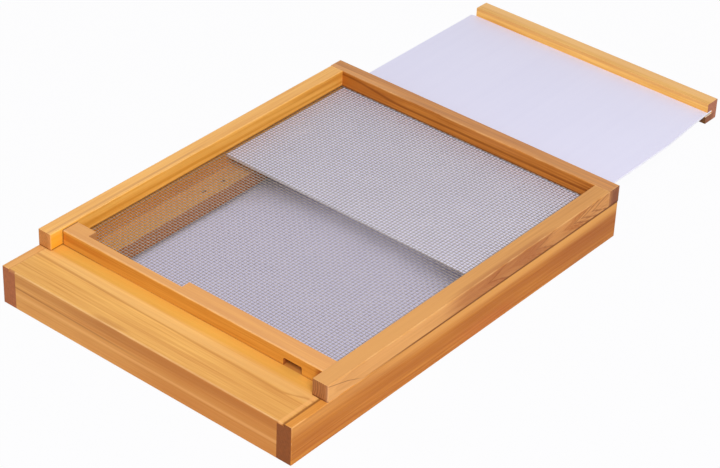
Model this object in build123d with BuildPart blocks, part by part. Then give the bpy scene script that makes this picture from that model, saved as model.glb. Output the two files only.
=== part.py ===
"""Screened bottom board of a beehive, with its entrance reducer in place and its tray drawn out at the back.

Millimetres. X runs across the board, +Y from the landing to the back, +Z up. The origin is on the ground, under
the middle of everything, the drawn-out tray included.
"""

import os

from build123d import *

os.makedirs("parts", exist_ok=True)

# The outline. A ten-frame hive body, 413 wide and 505 long, stands on the rim.
base_width = 413.0
hive_body_length = 505.0
porch_length = 54.0
base_length = hive_body_length + porch_length

# Side rails, with a rebate along the top inner edge for the edge of the screen.
rail_height = 48.0
rail_thickness = 19.5
rail_edge_radius = 1.0
seam_radius = 0.6
rebate_width = 9.0
rebate_depth = 3.0

# Rim strips on top of the rails. The right one is a little wider.
rim_height = 21.0
rim_width = 19.0
right_rim_width = 21.0
edge_radius = 1.2

# Landing board, an L in section, with a lip at each end that fills the rebate of the rail. The left one fits tightly.
landing_depth = 90.0
landing_thickness = 19.0
landing_front_thickness = 22.0
nose_radius = 1.4
right_lip_gap = 0.4
right_lip_radius = 2.4
left_lip_gap = 0.1
left_lip_radius = 0.3

# Screen under the rim.
screen_thickness = 1.2
screen_side_gap = 1.5
screen_lap = 9.5
screen_columns = 14
screen_rows = 20
screen_bar = 1.0

# Staples that hold the screen.
staple_crown = 10.0
staple_wire = 1.2
staple_flat = 0.6
staple_leg = 8.0

# Tray: a stiff plastic sheet, cut a little out of square in front, with a grooved wooden bar along its back edge.
tray_gap = 0.1
tray_under_screen = 0.8
tray_drawn_out = 237.5
tray_left_gap = 1.0
tray_right_gap = 8.0
tray_front_gap = 4.0
tray_rest_depth = 10.0
sheet_thickness = 2.6
sheet_tongue_gap = 0.5
sheet_front_skew = 3.0
sheet_left_corner = 2.0
sheet_right_corner = 95.0
handle_end_gap = 6.5
handle_depth = 20.5
handle_block_height = 11.5
handle_groove_height = 5.0
handle_groove_depth = 10.0
handle_lip_height = 9.6
handle_lip_proud = 3.0

# Rear rail under the tray, set in so that the bar's lip clears it.
rear_rail_thickness = 19.0
rear_rail_set_in = 4.0

# Side battens inside the rails.
batten_width = 32.0
batten_height = 20.0

# Entrance reducer: a small doorway below, and a wide one to turn down.
reducer_front = 71.5
reducer_depth = 23.0
reducer_height = 19.0
reducer_side_gap = 0.4
reducer_gap = 0.1
small_door_width = 25.0
small_door_height = 9.5
small_door_from_right = 62.0
wide_door_width = 138.0
wide_door_depth = 12.3
wide_door_from_left = 118.0
door_radius = 2.0

# Screws and dowels.
fit_gap = 0.05
screw_radius = 2.0
screw_head_radius = 3.5
screw_head_height = 2.6
screw_bore_radius = 4.0
screw_bore_depth = 26.0
screw_in_rim = 12.0
screw_from_side = 6.5
cross_length = 3.8
cross_width = 0.8
cross_depth = 1.3
dowel_radius = 4.0
dowel_in_rail = 8.0
dowel_in_board = 18.0
dowel_chamfer = 0.6
pin_screw_radius = 1.5
pin_screw_head_radius = 3.0
pin_screw_head_height = 2.0
pin_screw_in_bar = 8.0
driver_hole_radius = 3.6

# What follows from the sizes above.
half_width = base_width / 2
inner_half = half_width - rail_thickness
overall_length = base_length + tray_drawn_out + handle_depth
front = -overall_length / 2
back = front + base_length
rim_front = front + porch_length
rim_inner_y = back - rim_width
rim_inner_x = half_width - rim_width
right_rim_inner_x = half_width - right_rim_width
rim_top = rail_height + rim_height
screen_bottom = rail_height - screen_thickness
sheet_top = screen_bottom - tray_under_screen
sheet_bottom = sheet_top - sheet_thickness
tray_level = sheet_bottom - tray_gap
landing_back = front + landing_depth
rear_rail_back = back - rear_rail_set_in
rear_rail_front = rear_rail_back - rear_rail_thickness
board_bottom = rail_height - landing_thickness
batten_bottom = board_bottom - batten_height
front_wall_back = front + landing_front_thickness
screen_half = half_width - rail_thickness + rebate_width - screen_side_gap
screen_front = landing_back - screen_lap
screen_back = back - rear_rail_set_in
bar_front = back + tray_drawn_out
bar_back = bar_front + handle_depth
groove_back = bar_front + handle_groove_depth
sheet_back = groove_back
sheet_front = landing_back + tray_front_gap + tray_drawn_out
sheet_width = 2 * inner_half - tray_left_gap - tray_right_gap
tray_mid_x = (tray_left_gap - tray_right_gap) / 2
sheet_left = tray_mid_x - sheet_width / 2
sheet_right = tray_mid_x + sheet_width / 2
handle_length = sheet_width - 2 * handle_end_gap
tongue_left = tray_mid_x - handle_length / 2 + sheet_tongue_gap
tongue_right = tray_mid_x + handle_length / 2 - sheet_tongue_gap
groove_bottom = sheet_top - handle_groove_height
bar_bottom = groove_bottom - handle_lip_height
bar_top = sheet_top + handle_block_height
low = (Align.MIN, Align.MIN, Align.MIN)
on_z = (Align.CENTER, Align.CENTER, Align.MIN)
under_z = (Align.CENTER, Align.CENTER, Align.MAX)

# Where the fasteners go.
rim_run = rim_inner_y - rim_front
screw_x = half_width - screw_from_side
side_screw_rows = [rim_front + rim_run * share for share in (0.07, 0.36, 0.65, 0.94)]
side_screw_spots = [(side * screw_x, y) for side in (-1, 1) for y in side_screw_rows]
rear_screw_spots = [(side * screw_x, back - rim_width / 2) for side in (-1, 1)]
dowel_mid_x = inner_half + (dowel_in_rail - dowel_in_board) / 2
landing_dowel_rows = [
    (front + landing_front_thickness / 2, board_bottom / 2),
    (front + landing_depth * 0.6, board_bottom + landing_thickness * 0.4),
]
rear_dowel_y = rear_rail_front + rear_rail_thickness * 0.5
rear_dowel_rows = [(rear_dowel_y, tray_level * share) for share in (0.25, 0.72)]
batten_run = rear_rail_front - front_wall_back
batten_mid_z = batten_bottom + batten_height / 2
batten_dowel_rows = [(front_wall_back + batten_run * share, batten_mid_z) for share in (0.14, 0.38, 0.62, 0.86)]
staple_x = (rim_inner_x + screen_half) / 2
side_staple_spots = [
    (side * staple_x, rim_front + rim_run * share) for side in (-1, 1) for share in (0.14, 0.32, 0.5, 0.68, 0.86)
]
rear_staple_spots = [(inner_half * share, rim_inner_y + rim_width / 2) for share in (-0.75, -0.25, 0.25, 0.75)]
front_staple_spots = [(inner_half * share, landing_back - screen_lap / 2) for share in (-0.8, -0.4, 0, 0.4, 0.8)]
pin_screw_y = bar_front + handle_groove_depth / 2
pin_screw_spots = [(tray_mid_x + handle_length * share, pin_screw_y) for share in (-0.44, -0.22, 0, 0.22, 0.44)]

# Screws that come up through the rails and hold the side strips of the rim.
with BuildPart() as side_rim_screws:
    with Locations(*[(x, y, screw_bore_depth) for x, y in side_screw_spots]):
        Cylinder(screw_radius, rail_height - screw_bore_depth + screw_in_rim, align=on_z)
        Cylinder(screw_head_radius, screw_head_height, align=under_z)
    with Locations(*[(x, y, screw_bore_depth - screw_head_height) for x, y in side_screw_spots]):
        Box(cross_length, cross_width, cross_depth, align=on_z, mode=Mode.SUBTRACT)
        Box(cross_width, cross_length, cross_depth, align=on_z, mode=Mode.SUBTRACT)
side_rim_screws.part.label = "side_rim_screws"
export_step(side_rim_screws.part, "parts/side_rim_screws.step")

# The same screws at the two ends of the rear strip.
with BuildPart() as rear_rim_screws:
    with Locations(*[(x, y, screw_bore_depth) for x, y in rear_screw_spots]):
        Cylinder(screw_radius, rail_height - screw_bore_depth + screw_in_rim, align=on_z)
        Cylinder(screw_head_radius, screw_head_height, align=under_z)
    with Locations(*[(x, y, screw_bore_depth - screw_head_height) for x, y in rear_screw_spots]):
        Box(cross_length, cross_width, cross_depth, align=on_z, mode=Mode.SUBTRACT)
        Box(cross_width, cross_length, cross_depth, align=on_z, mode=Mode.SUBTRACT)
rear_rim_screws.part.label = "rear_rim_screws"
export_step(rear_rim_screws.part, "parts/rear_rim_screws.step")

# Wooden dowels between the rails and the landing board.
with BuildPart() as landing_dowels:
    with Locations(*[(side * dowel_mid_x, y, z) for side in (-1, 1) for y, z in landing_dowel_rows]):
        Cylinder(dowel_radius, dowel_in_rail + dowel_in_board, rotation=(0, 90, 0))
    chamfer(landing_dowels.edges().filter_by(GeomType.CIRCLE), dowel_chamfer)
landing_dowels.part.label = "landing_dowels"
export_step(landing_dowels.part, "parts/landing_dowels.step")

# Wooden dowels between the rails and the rear rail.
with BuildPart() as rear_rail_dowels:
    with Locations(*[(side * dowel_mid_x, y, z) for side in (-1, 1) for y, z in rear_dowel_rows]):
        Cylinder(dowel_radius, dowel_in_rail + dowel_in_board, rotation=(0, 90, 0))
    chamfer(rear_rail_dowels.edges().filter_by(GeomType.CIRCLE), dowel_chamfer)
rear_rail_dowels.part.label = "rear_rail_dowels"
export_step(rear_rail_dowels.part, "parts/rear_rail_dowels.step")

# Wooden dowels between the rails and the side battens.
with BuildPart() as batten_dowels:
    with Locations(*[(side * dowel_mid_x, y, z) for side in (-1, 1) for y, z in batten_dowel_rows]):
        Cylinder(dowel_radius, dowel_in_rail + dowel_in_board, rotation=(0, 90, 0))
    chamfer(batten_dowels.edges().filter_by(GeomType.CIRCLE), dowel_chamfer)
batten_dowels.part.label = "batten_dowels"
export_step(batten_dowels.part, "parts/batten_dowels.step")

# Staples from below, through the edge of the screen into the rim.
with BuildPart() as rim_staples:
    with Locations(*[(x, y, screen_bottom) for x, y in side_staple_spots]):
        Box(staple_wire, staple_crown, staple_flat, align=on_z)
        with Locations(*[(0, side * (staple_crown - staple_flat) / 2, 0) for side in (-1, 1)]):
            Box(staple_wire, staple_flat, staple_leg, align=on_z)
    with Locations(*[(x, y, screen_bottom) for x, y in rear_staple_spots]):
        Box(staple_crown, staple_wire, staple_flat, align=on_z)
        with Locations(*[(side * (staple_crown - staple_flat) / 2, 0, 0) for side in (-1, 1)]):
            Box(staple_flat, staple_wire, staple_leg, align=on_z)
rim_staples.part.label = "rim_staples"
export_step(rim_staples.part, "parts/rim_staples.step")

# Staples from above, through the front edge of the screen into the landing board.
with BuildPart() as landing_staples:
    with Locations(*[(x, y, rail_height) for x, y in front_staple_spots]):
        Box(staple_crown, staple_wire, staple_flat, align=under_z)
        with Locations(*[(side * (staple_crown - staple_flat) / 2, 0, 0) for side in (-1, 1)]):
            Box(staple_flat, staple_wire, staple_leg, align=under_z)
landing_staples.part.label = "landing_staples"
export_step(landing_staples.part, "parts/landing_staples.step")

# Left rail: rounded along the ground, rebated inside, bored for screws and dowels.
with BuildPart() as left_side_rail:
    with Locations((-half_width, front, 0)):
        Box(rail_thickness, base_length, rail_height, align=low)
    outer_corners = left_side_rail.edges().filter_by(Axis.Z).group_by(Axis.X)[0]
    top_outer_edge = left_side_rail.edges().filter_by(Axis.Y).group_by(Axis.Z)[-1].sort_by(Axis.X)[:1]
    fillet(outer_corners + top_outer_edge, edge_radius)
    fillet(left_side_rail.edges().filter_by(Axis.Y).group_by(Axis.Z)[0], rail_edge_radius)
    with Locations((-inner_half - rebate_width, front, rail_height - rebate_depth)):
        Box(rebate_width, base_length, rebate_depth, align=low, mode=Mode.SUBTRACT)
    with Locations(*[(x, y, 0) for x, y in side_screw_spots + rear_screw_spots if x < 0]):
        Cylinder(screw_bore_radius, screw_bore_depth, align=on_z, mode=Mode.SUBTRACT)
        Cylinder(screw_radius + fit_gap, rail_height, align=on_z, mode=Mode.SUBTRACT)
    with Locations(*[(-dowel_mid_x, y, z) for y, z in landing_dowel_rows + rear_dowel_rows + batten_dowel_rows]):
        Cylinder(dowel_radius + fit_gap, dowel_in_rail + dowel_in_board, rotation=(0, 90, 0), mode=Mode.SUBTRACT)
left_side_rail.part.label = "left_side_rail"
export_step(left_side_rail.part, "parts/left_side_rail.step")

# Right rail, the left one's mirror image.
with BuildPart() as right_side_rail:
    mirror(left_side_rail.part, about=Plane.YZ)
right_side_rail.part.label = "right_side_rail"
export_step(right_side_rail.part, "parts/right_side_rail.step")

# Landing board: front wall and top in one, a step behind for the tray, a shallow rebate for the screen.
with BuildPart() as landing_board:
    with BuildSketch(Plane.YZ.offset(-inner_half)):
        with BuildLine():
            Polyline(
                (front, 0),
                (front_wall_back, 0),
                (front_wall_back, board_bottom),
                (landing_back + tray_rest_depth, board_bottom),
                (landing_back + tray_rest_depth, tray_level),
                (landing_back, tray_level),
                (landing_back, rail_height),
                (front, rail_height),
                close=True,
            )
        make_face()
    extrude(amount=2 * inner_half)
    with Locations((left_lip_gap - inner_half - rebate_width, front, rail_height)):
        Box(
            2 * (inner_half + rebate_width) - left_lip_gap - right_lip_gap,
            landing_depth,
            rebate_depth,
            align=(Align.MIN, Align.MIN, Align.MAX),
        )
    lip_ends = landing_board.edges().filter_by(Axis.Y).group_by(Axis.Z)[-1].sort_by(Axis.X)
    fillet(lip_ends[-1:], right_lip_radius)
    fillet(lip_ends[:1], left_lip_radius)
    nose = landing_board.edges().filter_by(Axis.X).group_by(Axis.Y)[0].sort_by(Axis.Z)[-1:]
    fillet(nose, nose_radius)
    foot = landing_board.edges().filter_by(Axis.X).group_by(Axis.Z)[0].sort_by(Axis.Y)[:1]
    fillet(foot, rail_edge_radius)
    with Locations((0, screen_front, screen_bottom)):
        Box(base_width, screen_lap, rail_height, align=(Align.CENTER, Align.MIN, Align.MIN), mode=Mode.SUBTRACT)
    with Locations(*[(side * dowel_mid_x, y, z) for side in (-1, 1) for y, z in landing_dowel_rows]):
        Cylinder(dowel_radius + fit_gap, dowel_in_rail + dowel_in_board, rotation=(0, 90, 0), mode=Mode.SUBTRACT)
    add(landing_staples.part, mode=Mode.SUBTRACT)
landing_board.part.label = "landing_board"
export_step(landing_board.part, "parts/landing_board.step")

# Rear rail under the tray's slot.
with BuildPart() as rear_rail:
    with Locations((0, rear_rail_front, 0)):
        Box(2 * inner_half, rear_rail_thickness, tray_level, align=(Align.CENTER, Align.MIN, Align.MIN))
    fillet(rear_rail.edges().filter_by(Axis.X).group_by(Axis.Z)[0], rail_edge_radius)
    fillet(rear_rail.edges().filter_by(Axis.X).group_by(Axis.Z)[-1], edge_radius)
    with Locations(*[(side * dowel_mid_x, y, z) for side in (-1, 1) for y, z in rear_dowel_rows]):
        Cylinder(dowel_radius + fit_gap, dowel_in_rail + dowel_in_board, rotation=(0, 90, 0), mode=Mode.SUBTRACT)
rear_rail.part.label = "rear_rail"
export_step(rear_rail.part, "parts/rear_rail.step")

# Left batten inside its rail, under the landing board in front.
with BuildPart() as left_batten:
    with Locations((-inner_half, front_wall_back, batten_bottom)):
        Box(batten_width, batten_run, batten_height, align=low)
    fillet(left_batten.edges().filter_by(Axis.Y).group_by(Axis.X)[-1], edge_radius)
    with Locations(*[(-dowel_mid_x, y, z) for y, z in batten_dowel_rows]):
        Cylinder(dowel_radius + fit_gap, dowel_in_rail + dowel_in_board, rotation=(0, 90, 0), mode=Mode.SUBTRACT)
left_batten.part.label = "left_batten"
export_step(left_batten.part, "parts/left_batten.step")

# Right batten, the left one's mirror image.
with BuildPart() as right_batten:
    mirror(left_batten.part, about=Plane.YZ)
right_batten.part.label = "right_batten"
export_step(right_batten.part, "parts/right_batten.step")

# Left strip of the rim, from the porch to the rear strip.
with BuildPart() as left_rim_strip:
    with Locations((-half_width, rim_front, rail_height)):
        Box(rim_width, rim_run, rim_height, align=low)
    long_edges = left_rim_strip.edges().filter_by(Axis.Y).group_by(Axis.Z)[-1]
    corner_edges = left_rim_strip.edges().filter_by(Axis.Z).group_by(Axis.Y)[0]
    fillet(long_edges + corner_edges, edge_radius)
    seam_edge = left_rim_strip.edges().filter_by(Axis.Y).group_by(Axis.Z)[0].sort_by(Axis.X)[:1]
    fillet(seam_edge, seam_radius)
    with Locations(*[(x, y, rail_height) for x, y in side_screw_spots if x < 0]):
        Cylinder(screw_radius + fit_gap, screw_in_rim + fit_gap, align=on_z, mode=Mode.SUBTRACT)
    add(rim_staples.part, mode=Mode.SUBTRACT)
left_rim_strip.part.label = "left_rim_strip"
export_step(left_rim_strip.part, "parts/left_rim_strip.step")

# Right strip, wider towards the inside.
with BuildPart() as right_rim_strip:
    with Locations((right_rim_inner_x, rim_front, rail_height)):
        Box(right_rim_width, rim_run, rim_height, align=low)
    long_edges = right_rim_strip.edges().filter_by(Axis.Y).group_by(Axis.Z)[-1]
    corner_edges = right_rim_strip.edges().filter_by(Axis.Z).group_by(Axis.Y)[0]
    fillet(long_edges + corner_edges, edge_radius)
    seam_edge = right_rim_strip.edges().filter_by(Axis.Y).group_by(Axis.Z)[0].sort_by(Axis.X)[-1:]
    fillet(seam_edge, seam_radius)
    with Locations(*[(x, y, rail_height) for x, y in side_screw_spots if x > 0]):
        Cylinder(screw_radius + fit_gap, screw_in_rim + fit_gap, align=on_z, mode=Mode.SUBTRACT)
    add(rim_staples.part, mode=Mode.SUBTRACT)
right_rim_strip.part.label = "right_rim_strip"
export_step(right_rim_strip.part, "parts/right_rim_strip.step")

# Rear strip across the full width, with its end grain at both sides.
with BuildPart() as rear_rim_strip:
    with Locations((0, rim_inner_y, rail_height)):
        Box(base_width, rim_width, rim_height, align=(Align.CENTER, Align.MIN, Align.MIN))
    fillet(rear_rim_strip.edges().filter_by(Axis.X).group_by(Axis.Z)[-1], edge_radius)
    with Locations(*[(x, y, rail_height) for x, y in rear_screw_spots]):
        Cylinder(screw_radius + fit_gap, screw_in_rim + fit_gap, align=on_z, mode=Mode.SUBTRACT)
    add(rim_staples.part, mode=Mode.SUBTRACT)
rear_rim_strip.part.label = "rear_rim_strip"
export_step(rear_rim_strip.part, "parts/rear_rim_strip.step")

# Screen: one holed face with far fewer gaps than the woven wire has.
with BuildPart() as wire_screen:
    with BuildSketch(Plane.XY.offset(screen_bottom)):
        with Locations((0, (screen_front + screen_back) / 2)):
            Rectangle(2 * screen_half, screen_back - screen_front)
        field_x = 2 * inner_half / screen_columns
        field_y = (rim_inner_y - landing_back) / screen_rows
        with Locations((0, (rim_inner_y + landing_back) / 2)):
            with GridLocations(field_x, field_y, screen_columns, screen_rows):
                Rectangle(field_x - screen_bar, field_y - screen_bar, mode=Mode.SUBTRACT)
    extrude(amount=screen_thickness)
    add(rim_staples.part, mode=Mode.SUBTRACT)
    add(landing_staples.part, mode=Mode.SUBTRACT)
wire_screen.part.label = "wire_screen"
export_step(wire_screen.part, "parts/wire_screen.step")

# Entrance reducer: loose between the side strips, with a doorway below and a wide one in its back.
with BuildPart() as entrance_reducer:
    with Locations((reducer_side_gap - rim_inner_x, front + reducer_front, rail_height + reducer_gap)):
        Box(rim_inner_x + right_rim_inner_x - 2 * reducer_side_gap, reducer_depth, reducer_height, align=low)
    fillet(entrance_reducer.edges().filter_by(Axis.X), edge_radius)
    with Locations((half_width - small_door_from_right, front + reducer_front, rail_height + reducer_gap)):
        Box(
            small_door_width,
            reducer_depth,
            small_door_height,
            align=(Align.CENTER, Align.MIN, Align.MIN),
            mode=Mode.SUBTRACT,
        )
    door_top = rail_height + reducer_gap + small_door_height
    door_corners = entrance_reducer.edges().filter_by(Axis.Y)
    fillet(door_corners.filter_by_position(Axis.Z, door_top - 0.01, door_top + 0.01), door_radius)
    with Locations((wide_door_from_left - half_width, front + reducer_front + reducer_depth, rail_height)):
        Box(
            wide_door_width,
            wide_door_depth,
            2 * reducer_height,
            align=(Align.CENTER, Align.MAX, Align.MIN),
            mode=Mode.SUBTRACT,
        )
entrance_reducer.part.label = "entrance_reducer"
export_step(entrance_reducer.part, "parts/entrance_reducer.step")

# Small screws that hold the sheet up against the bar, driven through the holes in the bar's lip.
with BuildPart() as handle_screws:
    with Locations(*[(x, y, sheet_bottom) for x, y in pin_screw_spots]):
        Cylinder(pin_screw_radius, sheet_thickness + pin_screw_in_bar, align=on_z)
        Cylinder(pin_screw_head_radius, pin_screw_head_height, align=under_z)
    with Locations(*[(x, y, sheet_bottom - pin_screw_head_height) for x, y in pin_screw_spots]):
        Box(cross_length, cross_width, cross_depth, align=on_z, mode=Mode.SUBTRACT)
        Box(cross_width, cross_length, cross_depth, align=on_z, mode=Mode.SUBTRACT)
handle_screws.part.label = "handle_screws"
export_step(handle_screws.part, "parts/handle_screws.step")

# Tray sheet, level under the screen and carried in the slot over the rear rail, its back corners cut away to enter the bar.
with BuildPart() as tray_sheet:
    with BuildSketch(Plane.XY.offset(sheet_bottom)):
        with BuildLine():
            Polyline(
                (sheet_left, sheet_front),
                (sheet_right, sheet_front - sheet_front_skew),
                (sheet_right, bar_front - sheet_right_corner),
                (tongue_right, bar_front),
                (tongue_right, sheet_back),
                (tongue_left, sheet_back),
                (tongue_left, bar_front),
                (sheet_left, bar_front - sheet_left_corner),
                close=True,
            )
        make_face()
    extrude(amount=sheet_thickness)
    with Locations(*[(x, y, sheet_bottom) for x, y in pin_screw_spots]):
        Cylinder(pin_screw_radius + fit_gap, sheet_thickness, align=on_z, mode=Mode.SUBTRACT)
tray_sheet.part.label = "tray_sheet"
export_step(tray_sheet.part, "parts/tray_sheet.step")

# Tray bar: a block above the sheet, a groove, and a lip below that comes a little further forward.
with BuildPart() as tray_handle:
    with BuildSketch(Plane.YZ.offset(tray_mid_x - handle_length / 2)):
        with BuildLine():
            Polyline(
                (bar_back, bar_bottom),
                (bar_front - handle_lip_proud, bar_bottom),
                (bar_front - handle_lip_proud, groove_bottom),
                (groove_back, groove_bottom),
                (groove_back, sheet_top),
                (bar_front, sheet_top),
                (bar_front, bar_top),
                (bar_back, bar_top),
                close=True,
            )
        make_face()
    extrude(amount=handle_length)
    bar_edges = tray_handle.edges().filter_by(Axis.X).group_by(Axis.Z)
    fillet(bar_edges[0] + bar_edges[-1], edge_radius)
    with Locations(*[(x, y, bar_bottom) for x, y in pin_screw_spots]):
        Cylinder(driver_hole_radius, handle_lip_height, align=on_z, mode=Mode.SUBTRACT)
    with Locations(*[(x, y, sheet_top) for x, y in pin_screw_spots]):
        Cylinder(pin_screw_radius + fit_gap, pin_screw_in_bar + fit_gap, align=on_z, mode=Mode.SUBTRACT)
tray_handle.part.label = "tray_handle"
export_step(tray_handle.part, "parts/tray_handle.step")
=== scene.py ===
import bpy
from mathutils import Matrix, Vector


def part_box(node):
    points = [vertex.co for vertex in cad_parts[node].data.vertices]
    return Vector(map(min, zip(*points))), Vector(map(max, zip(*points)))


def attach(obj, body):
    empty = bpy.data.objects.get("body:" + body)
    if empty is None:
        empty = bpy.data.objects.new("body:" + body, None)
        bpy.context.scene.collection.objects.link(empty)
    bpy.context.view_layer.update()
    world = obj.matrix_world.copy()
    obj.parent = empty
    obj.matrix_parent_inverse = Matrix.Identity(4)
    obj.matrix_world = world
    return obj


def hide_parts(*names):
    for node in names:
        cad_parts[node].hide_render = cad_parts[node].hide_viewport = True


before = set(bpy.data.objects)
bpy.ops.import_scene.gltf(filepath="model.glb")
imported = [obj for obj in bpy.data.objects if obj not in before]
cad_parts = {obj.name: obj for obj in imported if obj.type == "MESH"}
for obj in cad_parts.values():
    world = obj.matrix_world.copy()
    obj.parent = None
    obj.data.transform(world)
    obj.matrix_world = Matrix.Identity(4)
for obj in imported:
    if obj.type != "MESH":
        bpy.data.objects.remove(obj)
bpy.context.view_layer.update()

# Side rails: two lengths of pine on edge, dipped in hot wax, with the grain along the hive.
# Their front ends show as brown end grain, and the upper inside edge is rebated for the screen.


class Shade:
    """A socket in a node tree. Arithmetic on it adds Math nodes, and node() adds any other node."""

    def __init__(self, tree, socket=None):
        self.tree = tree
        self.socket = socket

    def node(self, kind, settings=None, inputs=None, output=0):
        made = self.tree.nodes.new(kind)
        for name, value in (settings or {}).items():
            setattr(made, name, value)
        for name, value in (inputs or {}).items():
            if isinstance(value, Shade):
                self.tree.links.new(value.socket, made.inputs[name])
            else:
                made.inputs[name].default_value = value
        return Shade(self.tree, made.outputs[output])

    def math(self, operation, *others):
        return self.node("ShaderNodeMath", {"operation": operation}, dict(enumerate((self,) + others)))

    def __add__(self, other):
        return self.math("ADD", other)

    def __sub__(self, other):
        return self.math("SUBTRACT", other)

    def __mul__(self, other):
        return self.math("MULTIPLY", other)

    def __truediv__(self, other):
        return self.math("DIVIDE", other)

    def __rsub__(self, other):
        return self.node("ShaderNodeMath", {"operation": "SUBTRACT"}, {0: other, 1: self})

    __radd__ = __add__
    __rmul__ = __mul__

    def between(self, low, high):
        """0 below low, 1 above high, and a smooth rise from the one to the other."""
        ends = {"Value": self, "From Min": low, "From Max": high}
        return self.node("ShaderNodeMapRange", {"interpolation_type": "SMOOTHSTEP"}, ends)

    def clamped(self):
        return self.node("ShaderNodeClamp", None, {"Value": self})

    def blend(self, one, other):
        """One colour where this is 0, the other where it is 1. They are a Mix node's sockets 6 and 7."""
        return self.node("ShaderNodeMix", {"data_type": "RGBA"}, {0: self, 6: one, 7: other}, 2)

    def parts(self):
        split = self.node("ShaderNodeSeparateXYZ", None, {"Vector": self}).socket.node
        return [Shade(self.tree, socket) for socket in split.outputs]

    def coordinates(self, kind):
        return self.node("ShaderNodeTexCoord", output=kind)

    def stretched(self, *scale):
        return self.node("ShaderNodeMapping", None, {"Vector": self, "Scale": scale})

    def noise(self, scale, detail):
        return self.node("ShaderNodeTexNoise", None, {"Vector": self, "Scale": scale, "Detail": detail})

    def bump(self, strength, distance):
        return self.node("ShaderNodeBump", None, {"Strength": strength, "Distance": distance, "Height": self})

    def feed(self, shader, name):
        self.tree.links.new(self.socket, shader.inputs[name])


def colour(red, green, blue):
    """A colour as it looks on a screen, 0 to 255, in the linear values that a shader takes."""
    shown = [part / 255 for part in (red, green, blue)]
    linear = [part / 12.92 if part <= 0.04045 else ((part + 0.055) / 1.055) ** 2.4 for part in shown]
    return (*linear, 1.0)


def new_finish(name):
    finish = bpy.data.materials.new(name)
    finish.use_nodes = True
    return finish, finish.node_tree.nodes["Principled BSDF"], Shade(finish.node_tree)


def dress(node, finish):
    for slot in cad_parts[node].material_slots:
        slot.material = finish


def belt(value, low, high, soft):
    """1 from low to high, fading to 0 outside."""
    return value.between(low - soft, low + soft) * (1 - value.between(high - soft, high + soft))


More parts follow.
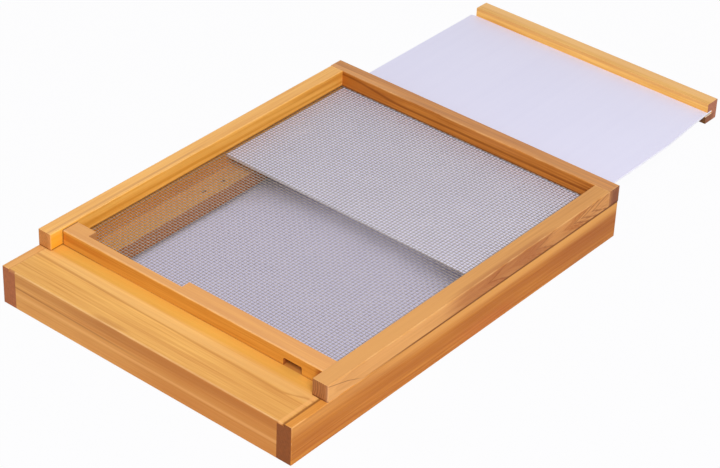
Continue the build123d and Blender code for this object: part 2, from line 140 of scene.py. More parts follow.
def waxed_pine(
    node, grain, heart, lean, ring, seed, pale, dark, end, marks=None,
    figure=0.35, bands=1.2, lines=1.0, wander=3.0, painted_top_light=0.06, end_rings=0.4,
):
    """Pine under wax on a CAD piece, with its grain along x or y.

    In millimetres: the log's heart across and up, its lean per metre, the rings' spacing and wander.
    The figure, bands, lines, painted top light and end rings are strengths. marks() takes a point's place in
    millimetres and the streak of the grain there, and gives the tinted places, and the tints laid last,
    most of them painted shade along seams and under other parts.
    """
    # Colour of the edges, worn pale and carrying a painted highlight.
    sanded_edge_highlight = colour(250, 204, 140)
    # Colour of the painted light on faces that look up.
    painted_top_light_colour = (0.96, 0.67, 0.39, 1.0)
    finish, shader, start = new_finish(node + "_pine")
    x, y, z = [part * 1000 for part in start.coordinates("Object").parts()]
    if grain == "x":
        across = heart[0] - y
        along = x
    else:
        across = x - heart[0]
        along = y
    up = z - heart[1]

    def cloud(long, wide, detail, offset):
        """Noise about 0, drawn out along the grain."""
        spot = {0: across / wide + seed, 1: along / long + offset, 2: up / wide - seed}
        spot = start.node("ShaderNodeCombineXYZ", None, spot)
        sizes = {"Vector": spot, "Scale": 1.0, "Detail": detail, "Roughness": 0.55}
        return start.node("ShaderNodeTexNoise", None, sizes) - 0.5

    # The rings: pale spring wood that darkens to late wood and stops short, in strong and weak years,
    # and broad belts of tone that follow them.
    side = across - along * (lean[0] / 1000) + cloud(long=240, wide=60, detail=1.0, offset=3.1) * (2 * wander)
    rise = up - along * (lean[1] / 1000) + cloud(long=300, wide=60, detail=1.0, offset=7.7) * (2 * wander)
    years = (side * side + rise * rise).math("SQRT") / ring
    uneven = {"W": years * 0.4 + seed, "Scale": 1.0, "Detail": 0.0}
    years = years + start.node("ShaderNodeTexNoise", {"noise_dimensions": "1D"}, uneven)
    phase = years.math("FRACT")
    late = phase.between(0.25, 0.88) * (1 - phase.between(0.93, 1.0))
    year = {"W": years.math("FLOOR") + seed}
    strong = start.node("ShaderNodeTexWhiteNoise", {"noise_dimensions": "1D"}, year)
    strong = strong * strong
    spot = start.node("ShaderNodeCombineXYZ", None, {0: years * 0.31 + seed, 1: along / 600})
    broad = {"Vector": spot, "Scale": 1.0, "Detail": 2.0}
    belts = start.node("ShaderNodeTexNoise", {"noise_dimensions": "2D"}, broad) - 0.5

    # Along the grain: fibres, long streaks, thin lines and wide patches, and short dark flecks.
    fibre = cloud(long=38, wide=0.5, detail=2.0, offset=1.3)
    streak = cloud(long=230, wide=3.6, detail=2.0, offset=5.9)
    line = cloud(long=75, wide=1.7, detail=2.0, offset=8.4)
    patch = cloud(long=110, wide=14, detail=1.0, offset=2.2)
    fleck = cloud(long=7, wide=0.45, detail=1.0, offset=9.2).between(0.16, 0.24)
    ring_tone = (late * (strong * 0.9 + 0.1) - 0.2) * figure
    grain_tone = streak * 0.9 + line * lines + patch * 0.6 + fibre * 0.3 + fleck * 0.12
    tone = 0.42 + ring_tone + belts * bands + grain_tone
    wood = tone.clamped().blend(pale, dark)
    zones, painted_shade_and_tints = marks(x, y, z, streak) if marks else ((), ())
    for mask, tint, strength in zones:
        wood = (mask * strength).blend(wood, tint)

    # Edges lighter, as sanded wear and as a painted highlight along them: an edge is where a point lies close
    # to two pairs of the box's sides at once.
    low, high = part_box(node)
    reach = []
    for here, least, most in zip((x, y, z), low, high):
        reach.append((here - least * 1000).math("MINIMUM", most * 1000 - here))
    nearer = reach[0].math("MINIMUM", reach[1])
    farther = reach[0].math("MAXIMUM", reach[1])
    edge = nearer.math("MAXIMUM", farther.math("MINIMUM", reach[2]))
    worn_edge_highlight = (1 - edge.between(0.3, 1.6)) * cloud(long=26, wide=9, detail=2.0, offset=6.6).between(-0.16, 0.2)
    wood = (worn_edge_highlight * 0.35).blend(wood, sanded_edge_highlight)

    # Painted light on the faces that look up, lighter as if lit from above; the darker cut ends with their
    # rings;
    # and last the tints from marks(), most of them painted shade in the seams.
    normal = start.coordinates("Normal").parts()
    painted_top_lift = normal[2].between(0.6, 0.95) * painted_top_light
    wood = painted_top_lift.blend(wood, painted_top_light_colour)
    facing = normal[0 if grain == "x" else 1].math("ABSOLUTE").between(0.7, 0.95)
    end_tone = 0.35 + late * end_rings + cloud(long=60, wide=3, detail=2.0, offset=4.4) * 0.9
    dark_end = tuple(part * 0.6 for part in end[:3]) + (1.0,)
    wood = facing.blend(wood, end_tone.clamped().blend(end, dark_end))
    # The last tints: mostly painted shade in seams and under parts, some painted highlights and wood tones.
    for mask, tint, strength in painted_shade_and_tints:
        wood = (mask * strength).blend(wood, tint)
    wood.feed(shader, "Base Color")
    (0.48 + fibre * 0.16 + late * 0.05 + facing * 0.2).feed(shader, "Roughness")
    shader.inputs["Specular IOR Level"].default_value = 0.16
    (late * 0.25 + fibre - fleck * 0.5).bump(strength=0.22, distance=0.0003).feed(shader, "Normal")
    dress(node, finish)


def left_rail_marks(x, y, z, streak):
    sawn_inside = x.between(-188.4, -187.4) * (1 - z.between(44, 45))
    pale_top = z.between(47.2, 47.8)
    zones = (
        (sawn_inside, colour(218, 144, 34), 0.60),
        (pale_top, colour(246, 190, 124), 0.22),
    )
    return zones, ()


def right_rail_marks(x, y, z, streak):
    # Painted highlight: golden towards the rounded top edge, as where light from above catches it.
    lit_top_edge = belt(z + streak * 8, 36, 60, 6) * (0.55 + y.between(-330, -160) * 0.45)
    dark_band = belt(z + streak * 10, 14, 29, 5)
    reddish_patch = belt(y + streak * 60, -140, -50, 25) * belt(z, -10, 16, 6)
    dull_back = y.between(0, 110) * (1 - z.between(30, 40))
    porch_top = z.between(47.2, 47.8)
    # Painted shade: dark lines just under the rim strip, and beside the landing board's lip.
    shade_under_strip = belt(z, 46.7, 49, 0.4) * x.between(203, 205) * y.between(-320, -190)
    shade_beside_landing = belt(x, 195, 197.8, 0.6) * z.between(44, 46)
    zones = (
        (lit_top_edge, colour(246, 182, 94), 0.60),
        (dark_band, colour(166, 86, 10), 0.45),
        (reddish_patch, colour(190, 88, 40), 0.30),
        (dull_back, colour(166, 94, 36), 0.30),
        (porch_top, colour(232, 150, 68), 0.32),
    )
    painted_shade_and_tints = (
        (shade_under_strip, colour(112, 58, 12), 0.85),
        (shade_beside_landing, colour(120, 66, 20), 0.70),
    )
    return zones, painted_shade_and_tints


waxed_pine(
    "left_side_rail", grain="y", heart=(-300, 20), lean=(0, 0), ring=2.8, seed=2.3,
    pale=colour(242, 176, 94), dark=colour(204, 132, 56), end=colour(184, 110, 66),
    marks=left_rail_marks, bands=0.9, end_rings=0.2,
)
waxed_pine(
    "right_side_rail", grain="y", heart=(290, 70), lean=(0, -8), ring=3.4, seed=6.1,
    pale=colour(216, 142, 50), dark=colour(174, 94, 18), end=colour(146, 82, 36),
    marks=right_rail_marks, figure=0.25, bands=1.4, wander=5.0, painted_top_light=0.0, end_rings=0.1,
)

# Landing board: the wide board that the bees land on, its front thickened to the rails' height.
# A lip at each end fills the rail's rebate, and dowels hold the board between the rails.


def landing_marks(x, y, z, streak):
    top = z.between(40, 46)
    gold_back = belt(y + streak * 9, -352, -300, 5) * top
    pale_belt = belt(y + streak * 5, -368, -354, 3) * top
    bent = y + streak * 4 + x * 0.014 - x.between(158, 190) * 10
    dark_ring = belt(bent, -370.8, -368.0, 1.3) * top
    brown_patch = belt(x + streak * 30, -66, -26, 10) * (1 - y.between(-403, -399)) * top
    darker_right = x.between(20, 150) * top
    front = 1 - y.between(-407.8, -406.6)
    dark_top_half = belt(z + streak * 5, 34, 46, 2.5) * (0.55 + x.between(-150, -40) * 0.45) * front
    warm_right = x.between(-80, 60) * front
    front_ring = belt(z + streak * 3 + x * 0.01, 26.0, 27.8, 0.9) * (1 - x.between(-80, 40)) * front
    pale_line = belt(z + streak * 3, 18.5, 22, 1.5) * front
    # Painted highlight along the rounded front nose.
    painted_nose_highlight = z.between(46.2, 46.9) * (1 - y.between(-407.6, -407.0))
    # Painted highlight on the rounded bead of the right lip.
    lip_bead_highlight = belt(x, 189, 193, 1.0) * z.between(44, 46)
    # Painted shade along the reducer's front foot and on the top under it, seen in the doorway; faint in the
    # middle.
    shade_under_reducer = y.between(-337.5, -336) * z.between(47, 47.8) * (1 - belt(x, -135, 95, 25) * 0.8)
    # Painted shade on the right lip's rounded end, in the gap beside the rail.
    right_end = x.between(193.6, 195.2)
    left_lip_end = (1 - x.between(-187.4, -186.6)) * front
    zones = (
        (gold_back, colour(232, 172, 58), 0.68),
        (pale_belt, colour(255, 205, 128), 0.45),
        (dark_ring, colour(182, 114, 44), 0.58),
        (brown_patch, colour(180, 110, 50), 0.40),
        (darker_right, colour(200, 132, 56), 0.25),
        (front, colour(194, 126, 58), 0.46),
        (dark_top_half, colour(168, 100, 38), 0.55),
        (warm_right, colour(180, 100, 20), 0.42),
        (front_ring, colour(150, 88, 34), 0.60),
        (pale_line, colour(236, 176, 102), 0.50),
        (painted_nose_highlight, colour(255, 214, 150), 0.28),
        (lip_bead_highlight, colour(242, 176, 102), 0.55),
    )
    painted_shade_and_tints = (
        (shade_under_reducer, colour(176, 100, 44), 0.70),
        (right_end, colour(140, 78, 26), 0.70),
        (left_lip_end, colour(176, 106, 64), 0.80),
    )
    return zones, painted_shade_and_tints


waxed_pine(
    "landing_board", grain="x", heart=(-300, -70), lean=(0, 0), ring=3.2, seed=11.7,
    pale=colour(242, 184, 98), dark=colour(204, 136, 62), end=colour(206, 140, 80),
    marks=landing_marks, figure=0.22, bands=0.8, lines=1.1, wander=2.0, painted_top_light=0.05,
)

# Rear rail: the low cross piece between the side rails under the tray's slot.
# Plain sawn pine, dowelled at both ends, and never seen from the front.
waxed_pine(
    "rear_rail", grain="x", heart=(170, 90), lean=(20, -30), ring=2.8, seed=15.2,
    pale=colour(230, 160, 86), dark=colour(186, 114, 50), end=colour(150, 94, 60),
)

# Battens: a square-edged strip inside each side rail, dowelled to it, with the landing board on its front.
# Unsanded pine, browner on the sawn inner face, and two pin knots on the left one.


def left_batten_marks(x, y, z, streak):
    planed_top = z.between(28.4, 28.9)
    sawn_inside = x.between(-156, -155.2)
    # Painted shade in the corner where the batten's top meets the rail.
    joint_shade = 1 - x.between(-186.4, -185.6)

    def pin_knot(knot_x, knot_y):
        """A dark spot, drawn out along the grain."""
        off_x = x - knot_x
        off_y = y - knot_y
        return 1 - (off_x * off_x + off_y * off_y * 0.4).between(1.5, 7.0)

    zones = (
        (planed_top, colour(228, 162, 52), 0.55),
        (sawn_inside, colour(174, 88, 8), 0.68),
        (pin_knot(-168.5, -133.5), colour(84, 52, 30), 0.85),
        (pin_knot(-167.7, -102.5), colour(84, 52, 30), 0.75),
    )
    return zones, ((joint_shade, colour(96, 58, 26), 0.75),)


waxed_pine(
    "left_batten", grain="y", heart=(-150, 60), lean=(0, -12), ring=2.4, seed=19.4,
    pale=colour(226, 156, 82), dark=colour(180, 110, 48), end=colour(160, 104, 68),
    marks=left_batten_marks,
)
waxed_pine(
    "right_batten", grain="y", heart=(160, 70), lean=(6, -16), ring=2.4, seed=23.8,
    pale=colour(224, 154, 80), dark=colour(180, 110, 48), end=colour(160, 104, 68),
)

# Dowels: turned beech pegs glued into blind holes between the rails and the cross pieces and battens.
# Pale pinkish wood with short dark rays.


def turned_beech(name):
    finish, shader, start = new_finish(name)
    at = start.coordinates("Object")
    fibre = at.stretched(40, 900, 900).noise(scale=1.0, detail=2.0)
    rays = at.stretched(260, 1500, 1500).noise(scale=1.0, detail=1.0).between(0.62, 0.7)
    (fibre * 0.7 + rays * 0.4).blend(colour(222, 186, 148), colour(170, 122, 86)).feed(shader, "Base Color")
    (0.5 + fibre * 0.2).feed(shader, "Roughness")
    fibre.bump(strength=0.2, distance=0.0002).feed(shader, "Normal")
    return finish


beech = turned_beech("dowel_beech")
for pegs in ("landing_dowels", "rear_rail_dowels", "batten_dowels"):
    dress(pegs, beech)

# Wire screen: galvanised wires woven one over, one under, six to the inch, cut to lie in the rebates.
# The wires along the hive and those across it are two pieces, each wire bent at every crossing.
screen_low, screen_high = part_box("wire_screen")
screen_mid = (screen_low + screen_high) / 2
wire_radius = 0.00033
wire_sides = 6
wire_bend = 0.0003
wire_unevenness = 0.0006
drift_scale = 19.0
along_pitch = 0.00427
across_pitch = 0.00434
edge_margin = 0.0024


def galvanised_wire(name, shade, glint, top):
    """Zinc with a fine spangle, dull in patches, with a painted highlight on top of each crossing and painted
    shade in the dips.
    """
    finish, shader, start = new_finish(name)
    at = start.coordinates("Object")
    spangle = at.noise(scale=260.0, detail=2.0)
    patch = at.noise(scale=24.0, detail=2.0)
    trough = screen_mid.z - 0.0004
    crest = screen_mid.z + 0.0005
    # Painted highlight on the crests of the weave, painted shade in its troughs.
    painted_knuckle_light = at.parts()[2].between(trough, crest)
    (spangle * 0.4 + patch * 0.3 + painted_knuckle_light * top - 0.25).blend(shade, glint).feed(shader, "Base Color")
    (0.34 + spangle * 0.2).feed(shader, "Roughness")
    shader.inputs["Metallic"].default_value = 0.8
    return finish


def weave_tree():
    """Wires laid side by side, each one bent over and under at its crossings."""
    tree = bpy.data.node_groups.new("woven_wires", "GeometryNodeTree")
    inputs = {
        "First crossing": "Vector",
        "Along a wire": "Vector",
        "To the next wire": "Vector",
        "Wires": "Int",
        "Crossings": "Int",
        "Wire radius": "Float",
        "Wire sides": "Int",
        "Bend": "Float",
        "Odd": "Float",
        "Unevenness": "Float",
        "Drift scale": "Float",
        "Metal": "Material",
    }
    for label, kind in inputs.items():
        tree.interface.new_socket(label, in_out="INPUT", socket_type="NodeSocket" + kind)
    tree.interface.new_socket("Geometry", in_out="OUTPUT", socket_type="NodeSocketGeometry")
    start = Shade(tree)
    given = tree.nodes.new("NodeGroupInput")
    sizes = {socket.name: Shade(tree, socket) for socket in given.outputs if socket.name}

    # One straight wire with a point at each crossing, repeated side by side.
    first = sizes["First crossing"]
    count = sizes["Crossings"]
    run = {0: sizes["Along a wire"], "Scale": count - 1}
    run = start.node("ShaderNodeVectorMath", {"operation": "SCALE"}, run)
    far = start.node("ShaderNodeVectorMath", {"operation": "ADD"}, {0: first, 1: run})
    wire = start.node("GeometryNodeCurvePrimitiveLine", None, {"Start": first, "End": far})
    wire = start.node("GeometryNodeResampleCurve", None, {"Curve": wire, "Count": count})
    row = {"Count": sizes["Wires"], "Start Location": (0, 0, 0), "Offset": sizes["To the next wire"]}
    row = start.node("GeometryNodeMeshLine", None, row)
    wires = start.node("GeometryNodeInstanceOnPoints", None, {"Points": row, "Instance": wire})
    wires = start.node("GeometryNodeRealizeInstances", None, {0: wires})

    # Each point goes up or down in turn, and drifts a little to the sides.
    index = start.node("GeometryNodeInputIndex")
    step = (index / count).math("FLOOR") + index.math("FLOORED_MODULO", count) + sizes["Odd"]
    over = (1 - step.math("FLOORED_MODULO", 2.0) * 2) * sizes["Bend"]
    place = start.node("GeometryNodeInputPosition")
    drift = {"Vector": place, "Scale": sizes["Drift scale"], "Detail": 1.0}
    drift = start.node("ShaderNodeTexNoise", None, drift, "Color")
    drift = start.node("ShaderNodeVectorMath", {"operation": "SUBTRACT"}, {0: drift, 1: (0.5, 0.5, 0.5)})
    sideways, lengthways, _ = drift.parts()
    bent = {0: sideways * sizes["Unevenness"], 1: lengthways * sizes["Unevenness"], 2: over}
    bent = start.node("ShaderNodeCombineXYZ", None, bent)
    wires = start.node("GeometryNodeSetPosition", None, {"Geometry": wires, "Offset": bent})
    wires = start.node("GeometryNodeSetCurveNormal", {"mode": "Z_UP"}, {"Curve": wires})

    # The wires get their thickness and their metal.
    circle = {"Resolution": sizes["Wire sides"], "Radius": sizes["Wire radius"]}
    circle = start.node("GeometryNodeCurvePrimitiveCircle", None, circle)
    drawn = {"Curve": wires, "Profile Curve": circle, "Fill Caps": True}
    drawn = start.node("GeometryNodeCurveToMesh", None, drawn)
    drawn = start.node("GeometryNodeSetShadeSmooth", None, {"Geometry": drawn})
    drawn = start.node("GeometryNodeRealizeInstances", None, {0: drawn})
    drawn = start.node("GeometryNodeSetMaterial", None, {"Geometry": drawn, "Material": sizes["Metal"]})
    tree.links.new(drawn.socket, tree.nodes.new("NodeGroupOutput").inputs[0])
    return tree


def made_by(tree, name, sizes):
    """A plain mesh object from a Geometry Nodes tree and its named inputs."""
    maker = bpy.data.objects.new(name + "_maker", bpy.data.meshes.new(name + "_seed"))
    bpy.context.scene.collection.objects.link(maker)
    modifier = maker.modifiers.new("make", "NODES")
    modifier.node_group = tree
    for socket in tree.interface.items_tree:
        if socket.name in sizes:
            modifier[socket.identifier] = sizes[socket.name]
    made = maker.evaluated_get(bpy.context.evaluated_depsgraph_get())
    mesh = bpy.data.meshes.new_from_object(made)
    maker.modifiers.remove(modifier)
    bpy.data.objects.remove(maker)
    mesh.name = name
    piece = bpy.data.objects.new(name, mesh)
    bpy.context.scene.collection.objects.link(piece)
    return piece


# Two copies of the zinc that differ only in painted light: the crosswise wires get the stronger highlight on
# their crossings.
lengthwise_wire_metal = galvanised_wire(
    "galvanised_wire_lengthwise", shade=colour(140, 129, 120), glint=colour(203, 192, 182), top=0.4
)
crosswise_wire_metal = galvanised_wire(
    "galvanised_wire_crosswise", shade=colour(132, 122, 114), glint=colour(213, 202, 191), top=0.8
)
wires_along = int((screen_high.x - screen_low.x - edge_margin) / across_pitch) + 1
wires_across = int((screen_high.y - screen_low.y - edge_margin) / along_pitch) + 1
first_x = screen_mid.x - (wires_along - 1) * across_pitch / 2
first_y = screen_mid.y - (wires_across - 1) * along_pitch / 2
to_the_back = Vector((0, along_pitch, 0))
to_the_right = Vector((across_pitch, 0, 0))
weave = weave_tree()
common = {
    "First crossing": Vector((first_x, first_y, screen_mid.z)),
    "Wire radius": wire_radius,
    "Wire sides": wire_sides,
    "Bend": wire_bend,
    "Unevenness": wire_unevenness,
    "Drift scale": drift_scale,
}
lengthwise = made_by(weave, "screen_wires_lengthwise", {
    **common,
    "Along a wire": to_the_back,
    "To the next wire": to_the_right,
    "Wires": wires_along,
    "Crossings": wires_across,
    "Odd": 0.0,
    "Metal": lengthwise_wire_metal,
})
crosswise = made_by(weave, "screen_wires_crosswise", {
    **common,
    "Along a wire": to_the_right,
    "To the next wire": to_the_back,
    "Wires": wires_across,
    "Crossings": wires_along,
    "Odd": 1.0,
    "Metal": crosswise_wire_metal,
})
for wires in (lengthwise, crosswise):
    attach(wires, "base")
    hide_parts("wire_screen")

# Staples: bright wire staples driven through the screen into the rim strips and the landing board.
# Their crowns lie flat against the screen, out of sight under the rim strips and the reducer.


def bright_metal(name, grain, detail, roughness, dull, bright):
    """Bare or plated steel, with a haze as fine as its grain."""
    finish, shader, start = new_finish(name)
    haze = start.coordinates("Object").noise(scale=grain, detail=detail)
    haze.blend(dull, bright).feed(shader, "Base Color")
    (roughness + haze * 0.2).feed(shader, "Roughness")
    shader.inputs["Metallic"].default_value = 1.0
    return finish


staple_metal = bright_metal(
    "staple_wire", grain=900.0, detail=2.0, roughness=0.25,
    dull=colour(176, 174, 170), bright=colour(212, 210, 206),
)
dress("rim_staples", staple_metal)
dress("landing_staples", staple_metal)

# Rim strips: three planed strips on the rails and over the rear slot, with the hive body's walls on top.
# Butted at the back corners, the sharp edges sanded off, and screwed up through the rails from below.


def left_strip_marks(x, y, z, streak):
    inside = x.between(-189, -188)
    top = z.between(67.5, 68.6)
    gold_front = (1 - y.between(-345, -325)) * inside
    dark_ring = belt(z + y * 0.0084 + streak * 4, 53.4, 56.4, 1.2) * inside * y.between(-335, -305)
    pale_ring = belt(z + y * 0.020 + streak * 4, 58.0, 61.6, 1.4) * inside
    dull_back = y.between(20, 110) * z.between(60, 62) * (1 - z.between(65, 67))
    top_ring = belt(x + streak * 3, -194.4, -191.4, 0.9) * top * (1 - y.between(-140, -90))
    # Painted shade along the strip's foot, where it sits on the rail.
    joint_shade = belt(z, 46, 49.8, 0.5)
    # Painted highlight on the front end's rounded inner edge.
    end_highlight = x.between(-194, -188.5) * (1 - y.between(-354, -352.5))
    zones = (
        (gold_front, colour(254, 192, 40), 0.55),
        (dark_ring, colour(204, 122, 24), 0.50),
        (pale_ring, colour(255, 196, 100), 0.40),
        (inside, colour(255, 170, 30), 0.12),
        (dull_back, colour(212, 128, 44), 0.30),
        (top_ring, colour(190, 120, 48), 0.55),
    )
    painted_shade_and_tints = (
        (joint_shade, colour(130, 68, 10), 0.70),
        (end_highlight, colour(238, 170, 100), 0.40),
    )
    return zones, painted_shade_and_tints


def right_strip_marks(x, y, z, streak):
    front_end = 1 - y.between(-354, -352.5)
    outside = x.between(204, 206)
    pale_front = 1 - y.between(-200, -90)
    brown_back = y.between(-190, -90) * x.between(203, 206)
    top = z.between(67.8, 68.7)
    arrow_root = belt(y + streak * 50, -150, 10, 25) * x.between(198.5, 203)

    # Arrow heads, where the saw cut across a bowed ring, and the thin dark edges of the last ones.
    tip = y - (z - 59).math("ABSOLUTE") * 3.0 + streak * 20
    ring = {"W": tip * 0.14, "Scale": 1.0, "Detail": 1.0}
    ring = tip.node("ShaderNodeTexNoise", {"noise_dimensions": "1D"}, ring)
    first_head = tip.between(-150, -92) * (1 - tip.between(-87, -81))
    heads = first_head + belt(tip, -54, -2, 4) + belt(tip, 40, 66, 4)
    first_rings = ring.between(0.48, 0.66) * y.between(-180, -100) * 0.3
    arrows = (heads * (0.42 + ring.between(0.38, 0.62) * 0.5) + first_rings) * outside
    stroke_ends = ((-90, -84), (-6, -1), (62, 67), (76, 82), (96, 101))
    strokes = sum(belt(tip, low, high, 2) for low, high in stroke_ends) * outside

    # A drying crack that runs down from the front end's top corner.
    fall = z + (y + 352) * 0.28 + (y + 325).math("MAXIMUM", 0.0) * 0.12
    crack = belt(fall, 66.8, 67.8, 0.4) * x.between(205, 206) * (1 - y.between(-318, -296))

    # Painted shade under the front end and along the strip's foot on the rail.
    end_foot_shade = belt(z, 46, 50.0, 0.5) * front_end
    joint_shade = belt(z, 46, 49.2, 0.5) * x.between(203, 205) * y.between(-320, -190)
    # Painted highlight on the front end's rounded outer edge.
    end_highlight = x.between(202, 205.5) * front_end
    zones = (
        (pale_front, colour(228, 166, 92), 0.60),
        (brown_back, colour(206, 134, 64), 0.30),
        (arrows, colour(176, 98, 32), 0.66),
        (strokes, colour(132, 66, 14), 0.50),
        (top, colour(212, 148, 80), 0.60),
        (arrow_root, colour(166, 94, 42), 0.55),
        (crack, colour(132, 78, 36), 0.65),
    )
    painted_shade_and_tints = (
        (end_foot_shade, colour(110, 56, 18), 0.75),
        (joint_shade, colour(112, 58, 12), 0.85),
        (end_highlight, colour(212, 154, 104), 0.45),
    )
    return zones, painted_shade_and_tints


def rear_strip_marks(x, y, z, streak):
    front = 1 - y.between(132, 132.8)
    top = z.between(67.5, 68.6)
    right_end = x.between(205.6, 206.2)
    brown_left = front * (1 - x.between(-140, -60)) * (1 - z.between(62, 67))
    bent = z + streak * 3 - (1 - x.between(-178, -92)) * 7.5
    dark_ring = belt(bent, 55.6, 58.4, 1.0) * front
    pale_middle = belt(x, 0, 80, 30) * z.between(58, 62) * front
    pale_left = (1 - x.between(-150, -60)) * (1 - y.between(137, 140)) * top
    top_ring = belt(y + streak * 4, 135.6, 138.4, 0.8) * x.between(60, 130) * top
    end_pale_rings = right_end * (1 - y.between(132.5, 138))
    end_dark_heart = right_end * belt(y, 140, 147.5, 2.0) * (1 - z.between(63, 68))
    # Painted shade along the strip's foot.
    foot_shade = belt(z, 46, 49.8, 0.6)
    zones = (
        (brown_left, colour(166, 84, 14), 0.45),
        (dark_ring, colour(126, 58, 4), 0.60),
        (pale_middle, colour(218, 144, 76), 0.35),
        (pale_left, colour(236, 166, 98), 0.50),
        (top_ring, colour(170, 104, 50), 0.45),
    )
    painted_shade_and_tints = (
        (end_pale_rings, colour(206, 138, 78), 0.55),
        (end_dark_heart, colour(136, 78, 54), 0.60),
        (foot_shade, colour(96, 50, 20), 0.65),
    )
    return zones, painted_shade_and_tints


waxed_pine(
    "left_rim_strip", grain="y", heart=(-260, 20), lean=(0, 4), ring=2.9, seed=31.5,
    pale=colour(254, 188, 92), dark=colour(224, 148, 52), end=colour(220, 148, 78),
    marks=left_strip_marks, figure=0.4, lines=1.5, painted_top_light=0.21,
)
waxed_pine(
    "right_rim_strip", grain="y", heart=(174, 60), lean=(32, 0), ring=3.0, seed=37.2,
    pale=colour(232, 168, 92), dark=colour(176, 108, 50), end=colour(190, 124, 70),
    marks=right_strip_marks, figure=0.5, bands=0.7, painted_top_light=0.07, end_rings=0.9,
)
waxed_pine(
    "rear_rim_strip", grain="x", heart=(112, 58), lean=(-18, 10), ring=2.8, seed=41.9,
    pale=colour(210, 132, 52), dark=colour(158, 82, 20), end=colour(174, 111, 71),
    marks=rear_strip_marks, figure=0.25, bands=1.0, lines=1.3, painted_top_light=0.20, end_rings=0.8,
)

# Screws: zinc-plated wood screws, sunk in bores from below, that pull the strips down on the rails.
# Short ones of the same sort hold the sheet in the tray's bar.
zinc = bright_metal(
    "zinc_screw", grain=320.0, detail=3.0, roughness=0.22,
    dull=colour(170, 172, 176), bright=colour(214, 210, 196),
)
for screws in ("side_rim_screws", "rear_rim_screws", "handle_screws"):
    dress(screws, zinc)

# Entrance reducer: a loose square stick that lies on the screen behind the landing board.
# A small doorway is sawn out below, and a wide one in the back for when it is turned over.


def reducer_marks(x, y, z, streak):
    front = 1 - y.between(-336.6, -336)
    left_ring = (1 - x.between(-140, -80)) * belt(z + streak * 4, 56, 62, 2) * front
    # Painted highlight along the top front edge.
    painted_edge_highlight = z.between(66, 66.6) * (1 - y.between(-335.6, -333))
    top = z.between(66.4, 67.0)
    # Painted shade along the foot, strong at the left end and faint further right, and beside both strips.
    foot_shade = belt(z, 46, 49.6, 0.5) * (1 - x.between(-165, -105) * 0.8)
    shade_beside_right_strip = x.between(172, 182) * (1 - z.between(65, 66.4))
    shade_beside_left_strip = belt(x, -190, -185.8, 0.4)
    # Painted light on the wide doorway's end wall, lightened where it lies in shade.
    lit_doorway_end = belt(x, -158.5, -156.8, 0.3) * y.between(-326.4, -325.8)
    zones = (
        (left_ring, colour(184, 96, 14), 0.40),
        (painted_edge_highlight, colour(255, 200, 128), 0.35),
        (top, colour(226, 134, 76), 0.25),
    )
    painted_shade_and_tints = (
        (foot_shade, colour(146, 78, 12), 0.70),
        (shade_beside_right_strip, colour(150, 70, 28), 0.85),
        (shade_beside_left_strip, colour(112, 60, 12), 0.70),
        (lit_doorway_end, colour(206, 146, 92), 0.80),
    )
    return zones, painted_shade_and_tints


waxed_pine(
    "entrance_reducer", grain="x", heart=(-260, 10), lean=(0, 0), ring=3.0, seed=47.3,
    pale=colour(228, 160, 66), dark=colour(194, 120, 36), end=colour(180, 106, 46),
    marks=reducer_marks, figure=0.3, bands=1.0, lines=1.4, painted_top_light=0.22,
)

# Tray sheet: a thin sheet of white plastic that slides under the screen and catches what falls through.
# Extruded, so faint lines run along it, with a satin face. Its sides are painted light, near white,
# and its front edge is greyer, a painted shade.


def white_plastic(name):
    finish, shader, start = new_finish(name)
    at = start.coordinates("Object")
    lines = at.stretched(120, 1.5, 20).noise(scale=1.0, detail=2.0)
    cloudy = at.noise(scale=9.0, detail=2.0)
    grain = at.noise(scale=1400.0, detail=1.0)
    _, turned_back, turned_up = start.coordinates("Normal").parts()
    flat = turned_up.math("ABSOLUTE").between(0.3, 0.8)
    # Painted light and shade on the edges: the sides near white, the front edge greyer.
    painted_edge_light_and_shade = turned_back.between(-0.9, -0.5).blend(colour(206, 203, 208), colour(252, 252, 255))
    face_white = (lines * 0.4 + cloudy * 0.6).blend(colour(228, 226, 250), colour(236, 234, 255))
    flat.blend(painted_edge_light_and_shade, face_white).feed(shader, "Base Color")
    (0.36 + cloudy * 0.12 + grain * 0.06).feed(shader, "Roughness")
    (grain + lines).bump(strength=0.08, distance=0.0002).feed(shader, "Normal")
    return finish


dress("tray_sheet", white_plastic("white_plastic"))

# Tray bar: the pine bar on the sheet's back edge, grooved to take it, with a thin lip below.
# It closes the slot when the tray is in, and is pulled by hand.


def bar_marks(x, y, z, streak):
    pale_back = z.between(56.6, 57.2) * y.between(392, 399)
    orange_ring = belt(z + streak * 3, 53.6, 60, 1) * (1 - y.between(388.6, 390))
    # Painted shade on the lip under the sheet, darkest on the lip's front face.
    shaded_lip = (1 - z.between(40.6, 41.4)) * (1 - y.between(397, 407))
    lip_front_shadow = (1 - z.between(40.2, 40.8)) * (1 - y.between(385.2, 386))
    bare_groove = belt(z, 40.9, 45.9, 0.05) * belt(y, 385.3, 397.9, 0.3)
    zones = (
        (pale_back, colour(255, 203, 138), 0.55),
        (orange_ring, colour(218, 160, 100), 0.45),
    )
    painted_shade_and_tints = (
        (shaded_lip, colour(136, 86, 54), 0.75),
        (lip_front_shadow, colour(92, 56, 20), 0.85),
        (bare_groove, colour(250, 234, 208), 0.80),
    )
    return zones, painted_shade_and_tints


waxed_pine(
    "tray_handle", grain="x", heart=(470, 10), lean=(0, 4), ring=3.0, seed=53.6,
    pale=colour(252, 196, 108), dark=colour(218, 150, 64), end=colour(206, 134, 100),
    marks=bar_marks, figure=0.25, bands=1.0, lines=1.3, painted_top_light=0.10,
)

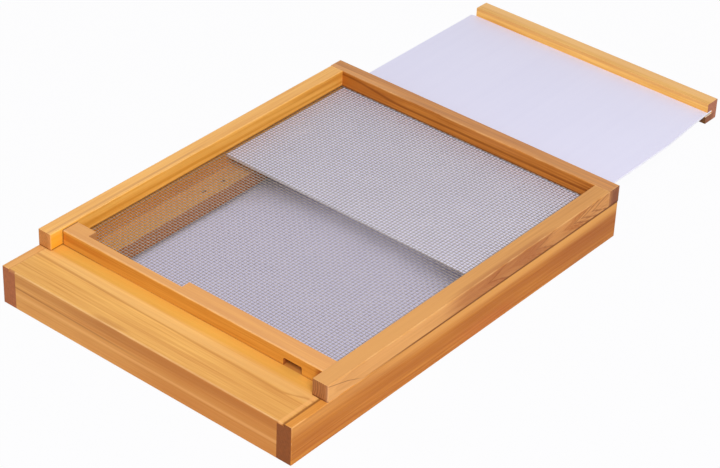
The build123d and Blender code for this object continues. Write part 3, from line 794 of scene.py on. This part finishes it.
# Floor: a plain pale table top, white to the camera round the board and with a soft shadow left in it.
# Inside the frame it is painted darker, standing for shade, and glows to the camera with painted light, as if
# lit through the screen, where nothing solid lies close above it; that leaves a painted shadow under the
# sheet.
floor_size = 60
floor_height = -0.0004
inside_half_width = 0.197
inside_front = -0.397
inside_back = 0.137
outer_floor = (0.82, 0.79, 0.96, 1.0)
# Darker inside the frame, a painted shade.
inner_floor = (0.60, 0.58, 0.72, 1.0)
painted_screen_light_colour = colour(201, 196, 221)
white_share = 0.95


def seen_plainly(start):
    """1 for what the camera sees, directly, in a reflection or through glass."""
    camera_ray = start.node("ShaderNodeLightPath", output="Is Camera Ray")
    glossy_ray = start.node("ShaderNodeLightPath", output="Is Glossy Ray")
    clear_ray = start.node("ShaderNodeLightPath", output="Is Transmission Ray")
    return camera_ray.math("MAXIMUM", glossy_ray).math("MAXIMUM", clear_ray)


bpy.ops.mesh.primitive_plane_add(size=floor_size, location=(0, 0, floor_height))
floor = bpy.context.object
floor.name = "floor"
floor_finish, floor_shader, start = new_finish("pale_floor")
floor_shader.inputs["Roughness"].default_value = 0.9
floor_shader.inputs["Specular IOR Level"].default_value = 0.0
seen = seen_plainly(start)
east, north, _ = start.coordinates("Object").parts()
between_rails = east.math("ABSOLUTE").math("LESS_THAN", inside_half_width)
behind_front = north.math("GREATER_THAN", inside_front)
before_back = north.math("LESS_THAN", inside_back)
inside = between_rails * behind_front * before_back
inside.blend(outer_floor, inner_floor).feed(floor_shader, "Base Color")
# Painted light: the floor glows to the camera where little lies close above it, so the sheet leaves a painted
# shadow.
open_above = start.node("ShaderNodeAmbientOcclusion", {"samples": 16}, {"Distance": 0.1}, "AO")
painted_light_share = open_above.between(0.13, 0.42) * 0.78
bare = Shade(start.tree, floor_shader.outputs[0])
painted_screen_light = start.node("ShaderNodeEmission", None, {"Color": painted_screen_light_colour, "Strength": 1.0})
white = start.node("ShaderNodeEmission", None, {"Color": (1, 1, 1, 1), "Strength": 1.0})
under_screen = start.node("ShaderNodeMixShader", None, {0: seen * painted_light_share, 1: bare, 2: painted_screen_light})
whitened = seen * (1 - inside) * white_share
surface = start.node("ShaderNodeMixShader", None, {0: whitened, 1: under_screen, 2: white})
surface.feed(start.tree.nodes["Material Output"], "Surface")
floor.data.materials.append(floor_finish)

# Studio light: an even pale room with one broad soft lamp above the front right corner.
# The room is plain white to the camera and in reflections.
world = bpy.data.worlds.new("studio")
bpy.context.scene.world = world
world.use_nodes = True
start = Shade(world.node_tree)
room = start.node("ShaderNodeBackground", None, {"Color": (1, 1, 1, 1), "Strength": 0.45})
backdrop = start.node("ShaderNodeBackground", None, {"Color": (1, 1, 1, 1), "Strength": 1.0})
surroundings = start.node("ShaderNodeMixShader", None, {0: seen_plainly(start), 1: room, 2: backdrop})
surroundings.feed(start.tree.nodes["World Output"], "Surface")
lamp_data = bpy.data.lights.new("soft_lamp", "AREA")
lamp_data.shape = "SQUARE"
lamp_data.size = 1.2
lamp_data.energy = 66.0
lamp = bpy.data.objects.new("soft_lamp", lamp_data)
bpy.context.scene.collection.objects.link(lamp)
lamp.location = (1.5, -1.6, 2.1)
lamp_aim = Vector((0, 0, 0)) - lamp.location
lamp.rotation_euler = lamp_aim.to_track_quat("-Z", "Y").to_euler()

# Camera: a long lens above the front right corner, as in the photograph.
# Its place, turn and lens come from a fit to the board's edges there.
eye = (1.39041, -1.79447, 1.50242)
right = Vector((0.765564, 0.642405, 0.03502))
up = Vector((-0.380515, 0.408229, 0.829794))
ahead = Vector((-0.518767, 0.648586, -0.55697))
camera_data = bpy.data.cameras.new("camera")
camera_data.sensor_fit = "HORIZONTAL"
camera_data.sensor_width = 36.0
camera_data.lens = 118.571
camera_data.clip_end = 100.0
camera = bpy.data.objects.new("camera", camera_data)
bpy.context.scene.collection.objects.link(camera)
camera.matrix_world = Matrix.Translation(eye) @ Matrix((right, up, -ahead)).transposed().to_4x4()
bpy.context.scene.camera = camera
bpy.context.scene.view_settings.view_transform = "Standard"

bpy.context.view_layer.update()
